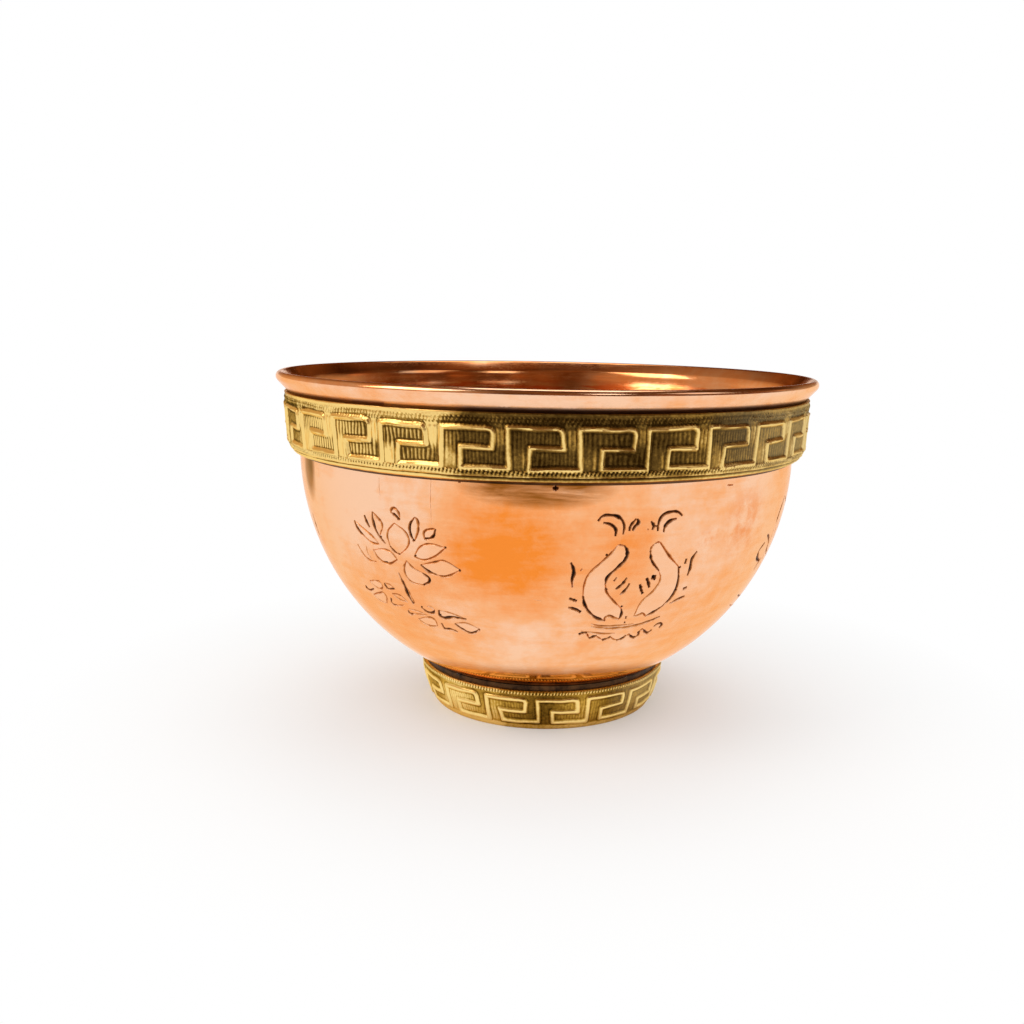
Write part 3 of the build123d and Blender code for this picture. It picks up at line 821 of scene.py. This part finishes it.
def rolled_strip(name, sections, columns, start_angle, span, relief):
    """A stamped strip rolled round the bowl: a grid laid along its section and round the axis."""
    face, back = sections
    outline = face + back + face[:1]
    start_fresh()
    bpy.ops.mesh.primitive_grid_add(x_subdivisions=columns, y_subdivisions=len(outline) - 1, size=1)
    piece = bpy.context.object
    piece.name = name
    mesh = piece.data
    flat = np.zeros(len(mesh.vertices) * 3)
    mesh.vertices.foreach_get("co", flat)
    flat = flat.reshape(-1, 3)
    column = (flat[:, 0] + 0.5) * columns
    row = np.rint((flat[:, 1] + 0.5) * (len(outline) - 1)).astype(int)
    line = np.array(outline)
    tangent = np.gradient(np.array(face), axis=0)
    tangent /= np.linalg.norm(tangent, axis=1)[:, None]
    outward = np.zeros_like(line)
    outward[: len(face)] = np.column_stack((-tangent[:, 1], tangent[:, 0]))
    outward[-1] = outward[0]
    middle_radius = np.mean([radius for radius, _ in face])
    round_length = radians(span) * middle_radius
    across = column / columns * round_length
    raised, rubbed = relief(across, line[row, 1], round_length)
    on_face = (np.abs(outward[row]).sum(axis=1) > 0).astype(float)
    raised = raised * on_face
    radius = line[row, 0] + outward[row, 0] * raised
    height = line[row, 1] + outward[row, 1] * raised
    turn = radians(start_angle) + column / columns * radians(span)
    place = np.column_stack((radius * np.sin(turn), -radius * np.cos(turn), height))
    mesh.vertices.foreach_set("co", place.ravel())
    mesh.attributes.new("rubbed", "FLOAT", "POINT")
    rubbed = np.where(on_face > 0, rubbed, plain_edge)
    mesh.attributes["rubbed"].data.foreach_set("value", rubbed.astype(np.float32))
    mesh.update()
    bpy.ops.object.mode_set(mode="EDIT")
    bpy.ops.mesh.select_all(action="SELECT")
    bpy.ops.mesh.remove_doubles(threshold=0.0005)
    bpy.ops.mesh.select_all(action="DESELECT")
    bpy.ops.mesh.select_mode(type="EDGE")
    bpy.ops.mesh.select_non_manifold(
        extend=False, use_multi_face=False, use_non_contiguous=False, use_verts=False
    )
    bpy.ops.mesh.edge_face_add()
    bpy.ops.mesh.select_all(action="SELECT")
    bpy.ops.mesh.normals_make_consistent(inside=False)
    bpy.ops.object.mode_set(mode="OBJECT")
    return piece


def node(tree, kind, inputs=(), **settings):
    """Adds a shader node; an input is given a value, or a socket to be linked to."""
    made = tree.nodes.new("ShaderNode" + kind)
    for key, value in settings.items():
        setattr(made, key, value)
    for key, value in dict(inputs).items():
        if isinstance(value, bpy.types.NodeSocket):
            tree.links.new(value, made.inputs[key])
        else:
            made.inputs[key].default_value = value
    return made


def ramp(tree, factor, stops):
    """A colour ramp through stops of position and colour."""
    made = node(tree, "ValToRGB", {"Fac": factor})
    band = made.color_ramp
    while len(band.elements) < len(stops):
        band.elements.new(0.5)
    for element, (position, colour) in zip(band.elements, stops):
        element.position = position
        element.color = (*colour, 1)
    return made.outputs["Color"]


def blank_material(name):
    """A new material with its tree, its shader and the surface's own coordinates."""
    material = bpy.data.materials.new(name)
    material.use_nodes = True
    tree = material.node_tree
    shader = tree.nodes["Principled BSDF"]
    place = node(tree, "TexCoord").outputs["Object"]
    return material, tree, shader, place


def noise(tree, place, scale, detail=3.0, roughness=0.5, distortion=0.0):
    """A noise pattern's value."""
    inputs = {"Vector": place, "Scale": scale, "Detail": detail}
    inputs.update({"Roughness": roughness, "Distortion": distortion})
    return node(tree, "TexNoise", inputs).outputs["Fac"]


def stretched(tree, place, factors):
    """Coordinates stretched along the axes."""
    return node(tree, "Mapping", {"Vector": place, "Scale": factors}).outputs["Vector"]


def spread(tree, value, low, high, to_low=0.0, to_high=1.0):
    """A value mapped from one range to another."""
    mapped = node(
        tree,
        "MapRange",
        {"Value": value, "From Min": low, "From Max": high, "To Min": to_low, "To Max": to_high},
    )
    return mapped.outputs["Result"]


def math(tree, operation, first, second):
    """Two values put together."""
    return node(tree, "Math", {0: first, 1: second}, operation=operation).outputs["Value"]


def mixed(tree, factor, first, second):
    """Two colours mixed by a factor."""
    made = node(tree, "Mix", {"Factor": factor}, data_type="RGBA")
    for socket, value in zip((made.inputs[6], made.inputs[7]), (first, second)):
        if isinstance(value, bpy.types.NodeSocket):
            tree.links.new(value, socket)
        else:
            socket.default_value = (*value, 1)
    return made.outputs[2]


def along(tree, vector, axis):
    """One coordinate of a vector."""
    return node(tree, "SeparateXYZ", {"Vector": vector}).outputs[axis]


def between_vectors(tree, operation, first, second, output="Value"):
    """Two vectors put together."""
    return node(tree, "VectorMath", {0: first, 1: second}, operation=operation).outputs[output]


def finish_metal(tree, shader, colour, rough, metallic):
    """Gives a metal's shader its colour and its polish."""
    tree.links.new(colour, shader.inputs["Base Color"])
    tree.links.new(rough, shader.inputs["Roughness"])
    shader.inputs["Metallic"].default_value = metallic


def on_wall(angle, height):
    """A point of the bowl's wall in metres, by its angle from the front and its height."""
    turn = radians(angle)
    radius = wall_radius(height)
    return (radius * sin(turn) / metre, -radius * cos(turn) / metre, height / metre)


def nearness(tree, place, point, full, none):
    """1 within a distance of a point, falling to 0 at a larger one."""
    return spread(tree, between_vectors(tree, "DISTANCE", place, point), full, none, 1.0, 0.0)


pale_copper = (0.98, 0.60, 0.39)
warm_copper = (0.97, 0.45, 0.20)
# Orange of the most tarnished copper, and of the painted orange reflection on the front belly
orange_tarnish_and_reflection = (0.95, 0.27, 0.035)
red_tarnish = (0.86, 0.23, 0.05)
# Red of the painted glints low on the inner wall
painted_red_glint = (0.93, 0.17, 0.025)
# Dark brown of the painted reflection under the strip at the front, and of a brown patch just under the
# strip on the left
brown_reflection_and_patch = (0.30, 0.095, 0.012)
# Black of the painted shade in the gaps above the rim strip and the foot strip, and of the middle of the
# brown patch
black_gap_shade_and_patch = (0.03, 0.012, 0.006)
# Pale brass mixed into the right side of the strips: partly wear, partly a painted pale sheen
pale_brass_and_sheen = (0.62, 0.50, 0.28)


def axis_distance(tree, place):
    """Distance from the bowl's axis."""
    flat = stretched(tree, place, (1, 1, 0))
    return node(tree, "VectorMath", {0: flat}, operation="LENGTH").outputs["Value"]


def height_of(tree, place):
    """Height above the table."""
    return along(tree, place, "Z")


def blot(tree, place, angle, height, full, none, factors=(1, 1, 1)):
    """A soft patch on the wall round a point, longer along the axes that are stretched less."""
    centre = on_wall(angle, height)
    stretch = stretched(tree, place, factors)
    return nearness(tree, stretch, tuple(c * k for c, k in zip(centre, factors)), full, none)


def added(tree, *values):
    """Several values added up."""
    total = values[0]
    for value in values[1:]:
        total = math(tree, "ADD", total, value)
    return total


def times(tree, value, factor):
    """A value made stronger or weaker."""
    return math(tree, "MULTIPLY", value, factor)


belly_middle = (0, 0, belly_height / metre)


def outer_face(tree, place):
    """1 on the bowl's outer face, 0 on its inner face."""
    facing = node(tree, "TexCoord").outputs["Normal"]
    from_middle = between_vectors(tree, "SUBTRACT", place, belly_middle, "Vector")
    outward = between_vectors(tree, "DOT_PRODUCT", facing, from_middle)
    return spread(tree, outward, -0.005, 0.005)


# Patches of the wall with more tarnish than the rest, or less: angle, height, full and whole
# reach in metres, change
tarnish_patches = [
    (-44, 33, 0.004, 0.015, -0.2),
    (-38, 30.5, 0.003, 0.009, -0.22),
    (-33, 26.5, 0.004, 0.012, 0.24),
    (-12, 33, 0.003, 0.010, 0.34),
    (-14, 20.5, 0.003, 0.010, 0.24),
    (-38, 15, 0.004, 0.016, 0.24),
    (8.5, 27, 0.002, 0.006, -0.22),
    (18.5, 25.5, 0.003, 0.010, 0.28),
    (26, 34.5, 0.004, 0.012, 0.26),
    (42, 17, 0.004, 0.016, 0.12),
]


def polished_copper(name, tarnish_and_reflection_level):
    """Polished copper: pale where it was rubbed last, with tarnished clouds and fine turning lines, painted
    reflections, and painted shade in the gaps by the strips.
    """
    material, tree, shader, place = blank_material(name)
    clouds = noise(tree, place, 55, 5, 0.6, 0.6)
    mottle = noise(tree, place, 380, 5, 0.7)
    smears = noise(tree, stretched(tree, place, (120, 120, 900)), 1.0, 4, 0.6, 0.4)
    lines = noise(tree, stretched(tree, place, (60, 60, 5200)), 1.0, 3)
    scuffs = noise(tree, place, 900, 3, 0.6)
    dents = noise(tree, stretched(tree, place, (70, 70, 160)), 1.0, 2)
    # A painted orange reflection on the front belly, broken up by a noise, is added to the tarnished clouds
    painted_orange_reflection = math(
        tree,
        "MAXIMUM",
        blot(tree, place, -5, 30.0, 0.002, 0.0110, (0.8, 1, 0.85)),
        blot(tree, place, -1, 25.8, 0.001, 0.0088),
    )
    stains = noise(tree, place, 210, 5, 0.65, 0.8)
    painted_orange_reflection = times(tree, painted_orange_reflection, spread(tree, stains, 0.3, 0.7, 0.66, 1.12))
    tarnish_and_reflection = added(
        tree,
        spread(tree, clouds, 0.38, 0.75, -0.06, 0.55),
        times(tree, painted_orange_reflection, 0.74),
        *(times(tree, blot(tree, place, *patch), change) for *patch, change in tarnish_patches),
        spread(tree, mottle, 0.3, 0.7, -0.17, 0.17),
        spread(tree, smears, 0.3, 0.7, -0.12, 0.12),
    )
    outside = outer_face(tree, place)
    # The inner face is made more orange: partly tarnished copper, partly a painted deeper reflection of
    # copper in copper
    tarnish_and_reflection = added(tree, times(tree, tarnish_and_reflection, tarnish_and_reflection_level), spread(tree, outside, 0, 1, 0.3, 0.0))
    tarnish_and_reflection = times(tree, tarnish_and_reflection, 0.85)
    colour = ramp(tree, tarnish_and_reflection, [(0.0, pale_copper), (0.36, warm_copper), (0.92, orange_tarnish_and_reflection)])
    smudged = math(
        tree,
        "MAXIMUM",
        blot(tree, place, 36, 29.5, 0.0004, 0.0024, (1, 1, 1.4)),
        blot(tree, place, 47, 30.6, 0.0012, 0.0052, (1, 1, 0.9)),
    )
    smudge = times(tree, smudged, spread(tree, mottle, 0.44, 0.62, 0.0, 0.5))
    colour = mixed(tree, smudge, colour, red_tarnish)
    # A painted dark brown reflection, streaky, under the strip at the front; and a brown patch just under
    # the strip on the left, blackest in its middle
    under_strip = blot(tree, place, -1.5, 36.4, 0.0055, 0.0098, (1, 1, 3.6))
    at_side = blot(tree, place, -63.3, 35.5, 0.0014, 0.0028, (1, 1, 0.6))
    at_side_core = blot(tree, place, -62, 36.2, 0.0005, 0.0020, (1, 1, 0.8))
    streaky = added(
        tree,
        times(tree, under_strip, spread(tree, smears, 0.34, 0.58, 0.35, 1.0)),
        times(tree, at_side, 0.95),
    )
    colour = mixed(tree, times(tree, streaky, outside), colour, brown_reflection_and_patch)
    colour = mixed(tree, times(tree, times(tree, at_side_core, outside), 0.6), colour, black_gap_shade_and_patch)
    height = height_of(tree, place)
    out = axis_distance(tree, place)
    # Painted shade: a black line on the neck just above the rim strip and on the wall just above the foot
    # strip, where the gaps between the parts are shaded; these places are also made rougher
    above_strip = spread(tree, height, 0.0454, 0.0458, 1.0, 0.0)
    at_strip = spread(tree, height, 0.0445, 0.0447, 0.0, 1.0)
    crevice = times(tree, times(tree, above_strip, at_strip), spread(tree, out, 0.0357, 0.0358))
    by_foot = times(tree, spread(tree, height, 0.0061, 0.0066, 1.0, 0.0), spread(tree, out, 0.0161, 0.0163))
    painted_gap_shade = math(tree, "MAXIMUM", crevice, by_foot)
    colour = mixed(tree, times(tree, painted_gap_shade, 0.9), colour, black_gap_shade_and_patch)
    # Painted red glints, reflections of copper in copper, low on the back of the inner wall
    low_inside = spread(tree, height, 0.0438, 0.0452, 1.0, 0.0)
    low_inside = times(tree, spread(tree, height, 0.0400, 0.0420), low_inside)
    hollow = times(tree, low_inside, spread(tree, out, 0.0350, 0.0354, 1.0, 0.0))
    behind = spread(tree, along(tree, place, "Y"), 0.005, 0.02)
    glow = times(tree, times(tree, hollow, behind), spread(tree, smears, 0.44, 0.56, 0.0, 0.8))
    colour = mixed(tree, glow, colour, painted_red_glint)
    rough = added(
        tree,
        spread(tree, scuffs, 0.3, 0.7, 0.11, 0.18),
        spread(tree, lines, 0.3, 0.7, 0.0, 0.05),
        times(tree, painted_gap_shade, 0.3),
        spread(tree, height, 0.0085, 0.0115, -0.09, 0.0),
    )
    turned = node(tree, "Bump", {"Height": lines, "Strength": 0.03, "Distance": 0.0001}).outputs[0]
    dented = {"Height": dents, "Strength": 0.3, "Distance": 0.0004, "Normal": turned}
    tree.links.new(node(tree, "Bump", dented).outputs["Normal"], shader.inputs["Normal"])
    shader.inputs["Specular Tint"].default_value = (1.0, 0.74, 0.5, 1)
    finish_metal(tree, shader, colour, rough, 1.0)
    return material


def groove_oxide(name, edge, middle, core, core_depth):
    """The oxide left in an engraved line: thin and warm at its edges, darkest at its bottom, and paler on
    walls that face up, a painted highlight.
    """
    material, tree, shader, place = blank_material(name)
    spots = noise(tree, place, 1500, 3)
    reach = between_vectors(tree, "DISTANCE", place, belly_middle)
    depth = spread(tree, reach, belly_radius / metre, (belly_radius - core_depth) / metre)
    facing = along(tree, node(tree, "TexCoord").outputs["Normal"], "Z")
    lowest_facing = -belly_height / belly_radius
    wall_facing = spread(tree, height_of(tree, place), 0, belly_height / metre, lowest_facing, 0)
    # Walls of the groove that face up are painted paler, a painted highlight of the light from above
    facing_up_for_painted_highlight = math(tree, "SUBTRACT", facing, wall_facing)
    oxide = added(
        tree,
        depth,
        spread(tree, spots, 0.3, 0.7, -0.2, 0.2),
        spread(tree, facing_up_for_painted_highlight, 0.1, 0.6, 0.0, -0.14),
    )
    colour = ramp(tree, oxide, [(0.0, pale_copper), (0.12, edge), (0.5, middle), (0.95, core)])
    finish_metal(tree, shader, colour, spread(tree, spots, 0.3, 0.7, 0.45, 0.65), 0.7)
    return material


def stamped_brass(name, girth, stops, left_wear_and_sheen, right_wear_and_sheen):
    """Stamped brass: dark patina in the ground, rubbed to bright metal on the ridges, brighter on the left
    and paler on the right: partly wear, partly painted light.
    """
    material, tree, shader, place = blank_material(name)
    rubbed = node(tree, "Attribute", attribute_name="rubbed").outputs["Fac"]
    patches = noise(tree, place, 160, 4, 0.6)
    grain = noise(tree, place, 2200, 4, 0.7)
    side = along(tree, place, "X")
    unsteady = added(tree, side, spread(tree, patches, 0.3, 0.7, -0.06 * girth, 0.06 * girth))
    # The left side is brightened, partly by wear and partly as painted light from the left; less at the back
    # and at the far left
    left_wear_and_sheen_mask = spread(tree, unsteady, -0.38 * girth, -0.29 * girth, left_wear_and_sheen, 0.0)
    to_the_back = spread(tree, along(tree, place, "Y"), -0.6 * girth, 0.5 * girth, 1.0, 0.5)
    to_the_left = spread(tree, side, -0.96 * girth, -0.76 * girth, 0.3, 1.0)
    left_wear_and_sheen_mask = times(tree, times(tree, left_wear_and_sheen_mask, to_the_back), to_the_left)
    top_margin = spread(tree, height_of(tree, place), 0.0436, 0.0441, 0.0, 0.35)
    gilded = added(tree, spread(tree, rubbed, 0.05, 0.34, 0.26, 0.95), top_margin)
    wear_and_sheen = added(
        tree,
        rubbed,
        times(tree, left_wear_and_sheen_mask, gilded),
        spread(tree, grain, 0.3, 0.7, -0.14, 0.14),
        spread(tree, patches, 0.3, 0.7, -0.09, 0.09),
        # The right side is brightened, partly by wear and partly as painted light
        spread(tree, side, 0.25 * girth, 0.9 * girth, 0.0, right_wear_and_sheen),
    )
    colour = ramp(tree, wear_and_sheen, stops)
    # The right side is mixed towards pale brass, partly wear and partly a painted pale sheen
    colour = mixed(tree, spread(tree, side, 0.5 * girth, 0.95 * girth, 0.0, 0.42), colour, pale_brass_and_sheen)
    finish_metal(tree, shader, colour, spread(tree, wear_and_sheen, 0.1, 0.9, 0.46, 0.3), 1.0)
    bump = node(tree, "Bump", {"Height": grain, "Strength": 0.25, "Distance": 0.00006})
    tree.links.new(bump.outputs["Normal"], shader.inputs["Normal"])
    shader.inputs["Specular Tint"].default_value = (1.0, 0.82, 0.5, 1)
    return material


def dull_solder():
    """Tarnished solder with brown flux stains."""
    material, tree, shader, place = blank_material("dull_solder")
    blotches = noise(tree, place, 700, 4, 0.6)
    colour = ramp(tree, blotches, [(0.35, (0.025, 0.011, 0.005)), (0.7, (0.15, 0.07, 0.026))])
    finish_metal(tree, shader, colour, spread(tree, blotches, 0.3, 0.7, 0.4, 0.6), 0.9)
    return material


# Finishes
copper = polished_copper("polished_copper", 1.0)
bright_copper = polished_copper("bright_copper", 0.45)
dark_oxide = groove_oxide(
    "dark_oxide", (0.76, 0.30, 0.08), (0.24, 0.07, 0.012), (0.025, 0.011, 0.005), 0.22
)
thin_oxide = groove_oxide(
    "thin_oxide", (0.93, 0.45, 0.16), (0.66, 0.23, 0.05), (0.28, 0.09, 0.018), 0.21
)
rim_brass = stamped_brass(
    "rim_brass",
    strip_face(strip_top) / metre,
    [
        (0.0, (0.03, 0.013, 0.002)),
        (0.3, (0.14, 0.075, 0.015)),
        (0.6, (0.48, 0.27, 0.052)),
        (0.95, (0.98, 0.69, 0.24)),
    ],
    1.0,
    0.22,
)
foot_brass = stamped_brass(
    "foot_brass",
    foot_top_radius / metre,
    [
        (0.0, (0.05, 0.021, 0.002)),
        (0.3, (0.26, 0.13, 0.014)),
        (0.6, (0.60, 0.34, 0.052)),
        (0.95, (0.98, 0.70, 0.25)),
    ],
    0.5,
    0.15,
)
solder = dull_solder()

# Copper bowl
bowl = draw_profile("copper_bowl", bowl_profile())
spin_profile(bowl_facets)
bowl.data.materials.append(copper)
engrave(bowl, [dark_oxide, thin_oxide])
bowl.data.materials.append(bright_copper)
brighten_inside(bowl, len(bowl.data.materials) - 1)
work_on(bowl)
bpy.ops.object.shade_smooth_by_angle(angle=bowl_smooth_angle)
to_metres(bowl)
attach(bowl, "root")
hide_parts("bowl_shell")

# Brass rim strip
strip_middle = strip_face((strip_top + strip_bottom) / 2)
strip_seam_span = degrees(strip_seam_gap / strip_middle)
rim = rolled_strip(
    "rim_strip",
    rim_section(),
    strip_columns,
    strip_seam_angle + strip_seam_span / 2,
    360 - strip_seam_span,
    rim_relief,
)
rim.data.materials.append(rim_brass)
bpy.ops.object.shade_smooth_by_angle(angle=strip_smooth_angle)
to_metres(rim)
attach(rim, "root")
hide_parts("rim_band")

# Brass foot strip
foot_seam_span = degrees(foot_seam_gap / foot_face(foot_height / 2))
foot = rolled_strip(
    "foot_strip",
    foot_section(),
    foot_columns,
    foot_seam_angle + foot_seam_span / 2,
    360 - foot_seam_span,
    foot_relief,
)
foot.data.materials.append(foot_brass)
bpy.ops.object.shade_smooth_by_angle(angle=strip_smooth_angle)
to_metres(foot)
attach(foot, "root")
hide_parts("foot_ring")

# Solder joints keep their CAD shape
for name in ("rim_band_seam", "rim_band_solder", "foot_ring_seam", "foot_ring_solder"):
    joint = frame["nodes"][name]
    joint.data.materials.clear()
    joint.data.materials.append(solder)


# Floor, light and camera
def seen_directly(tree):
    """1 for rays from the camera and for what polished metal and glass show, 0 for soft light."""
    path = node(tree, "LightPath")
    seen = math(tree, "MAXIMUM", path.outputs["Is Camera Ray"], path.outputs["Is Glossy Ray"])
    return math(tree, "MAXIMUM", seen, path.outputs["Is Transmission Ray"])


def floor_material():
    """A plain pale floor that runs out into a white backdrop."""
    material, tree, shader, place = blank_material("floor_paper")
    tone = noise(tree, place, 3, 2)
    paper = ramp(tree, tone, [(0.3, (0.91, 0.91, 0.905)), (0.7, (0.93, 0.93, 0.925))])
    tree.links.new(paper, shader.inputs["Base Color"])
    shader.inputs["Roughness"].default_value = 0.9
    shader.inputs["Specular IOR Level"].default_value = 0.1
    white = node(tree, "Emission", {"Color": (1, 1, 1, 1), "Strength": 1.0})
    away = node(tree, "VectorMath", {0: place}, operation="LENGTH").outputs["Value"]
    path = node(tree, "LightPath")
    shown = math(tree, "MAXIMUM", path.outputs["Is Glossy Ray"], path.outputs["Is Transmission Ray"])
    in_metal = times(tree, spread(tree, away, 0.0168, 0.0200), shown)
    in_view = times(tree, spread(tree, away, 0.0, 0.075), path.outputs["Is Camera Ray"])
    far = math(tree, "MAXIMUM", in_metal, in_view)
    both = node(tree, "MixShader", {0: far, 1: shader.outputs["BSDF"], 2: white.outputs["Emission"]})
    tree.links.new(both.outputs["Shader"], tree.nodes["Material Output"].inputs["Surface"])
    return material


start_fresh()
bpy.ops.mesh.primitive_plane_add(size=8, location=(0, 0, 0))
floor = bpy.context.object
floor.name = "floor"
floor.data.materials.append(floor_material())


def room_material():
    """A dim brown room with a few warm spots."""
    material, tree, shader, place = blank_material("room_shade")
    tone = noise(tree, place, 1.6, 3)
    spots = noise(tree, place, 4.0, 2)
    shade = ramp(tree, tone, [(0.35, (0.035, 0.013, 0.004)), (0.65, (0.19, 0.075, 0.022))])
    low_down = spread(tree, height_of(tree, place), 0.6, 0.85, 1.0, 0.0)
    warm = times(tree, spread(tree, spots, 0.55, 0.68), low_down)
    shade = mixed(tree, warm, shade, (0.5, 0.2, 0.07))
    side = along(tree, place, "X")
    by_window = spread(tree, side, -0.4, -1.1, 0.0, 0.7)
    shade = mixed(tree, by_window, shade, (0.7, 0.47, 0.28))
    behind = along(tree, place, "Y")
    aside = spread(tree, math(tree, "ABSOLUTE", side, 0.0), 0.55, 0.85)
    horizon = spread(tree, height_of(tree, place), 0.3, 0.75, 0.4, 0.0)
    at_back = times(tree, times(tree, spread(tree, behind, 0.2, 0.6), horizon), aside)
    shade = mixed(tree, at_back, shade, (0.92, 0.78, 0.58))
    glow = node(tree, "Emission", {"Color": shade, "Strength": 1.0})
    tree.links.new(glow.outputs["Emission"], tree.nodes["Material Output"].inputs["Surface"])
    return material


start_fresh()
bpy.ops.mesh.primitive_uv_sphere_add(segments=48, ring_count=24, radius=1.6)
room = bpy.context.object
room.name = "room"
bpy.ops.object.mode_set(mode="EDIT")
bpy.ops.mesh.select_all(action="SELECT")
bpy.ops.mesh.bisect(plane_co=(0, 0, 0.2), plane_no=(0, 0, 1), clear_inner=True)
bpy.ops.mesh.select_all(action="SELECT")
bpy.ops.mesh.flip_normals()
bpy.ops.object.mode_set(mode="OBJECT")
room.data.materials.append(room_material())
room.visible_camera = False
room.visible_diffuse = False
room.visible_shadow = False


def area_lamp(name, place, aim, size, power, colour, mirrored_in_metal=True):
    """A soft square lamp turned towards a point."""
    start_fresh()
    bpy.ops.object.light_add(type="AREA", location=place)
    lamp = bpy.context.object
    lamp.name = name
    lamp.rotation_euler = (Vector(aim) - Vector(place)).to_track_quat("-Z", "Y").to_euler()
    lamp.data.size = size
    lamp.data.energy = power
    lamp.data.color = colour
    lamp.visible_glossy = mirrored_in_metal
    return lamp


lamp_aim = (0, 0, 0.02)
area_lamp("key_lamp", (-0.80, -0.36, 0.76), lamp_aim, 0.6, 3.4, (1.0, 0.97, 0.92))
area_lamp("fill_lamp", (0.75, -0.26, 0.70), lamp_aim, 0.8, 1.2, (0.97, 0.98, 1.0), False)
area_lamp("front_lamp", (0.40, -0.78, 0.74), lamp_aim, 0.25, 0.4, (1.0, 0.98, 0.95))
area_lamp("side_lamp", (0.85, -0.24, 0.72), lamp_aim, 0.4, 0.45, (1.0, 0.98, 0.95))
area_lamp("top_lamp", (0.05, 0.35, 1.0), lamp_aim, 0.6, 2.0, (1.0, 0.98, 0.95))

world = bpy.data.worlds.new("studio")
bpy.context.scene.world = world
world.use_nodes = True
sky = world.node_tree
background = sky.nodes["Background"]
background.inputs["Color"].default_value = (1, 1, 1, 1)
sky.links.new(spread(sky, seen_directly(sky), 0, 1, 0.7, 1.0), background.inputs["Strength"])

camera_place = (0, -0.159918, 0.055874)
camera_pitch = radians(10.301)
camera_roll = radians(1.087)
frame_size = 1024
focal_pixels = 1105.7
middle_pixel = (544.87, 515.97)
turn = Matrix.Rotation(pi / 2 - camera_pitch, 4, "X") @ Matrix.Rotation(camera_roll, 4, "Z")
start_fresh()
bpy.ops.object.camera_add(location=camera_place, rotation=turn.to_euler())
camera = bpy.context.object
camera.data.sensor_width = 36
camera.data.lens = focal_pixels / frame_size * camera.data.sensor_width
camera.data.shift_x = (frame_size / 2 - middle_pixel[0]) / frame_size
camera.data.shift_y = (middle_pixel[1] - frame_size / 2) / frame_size
camera.data.clip_start = 0.01
bpy.context.scene.camera = camera
bpy.context.scene.view_settings.view_transform = "Standard"
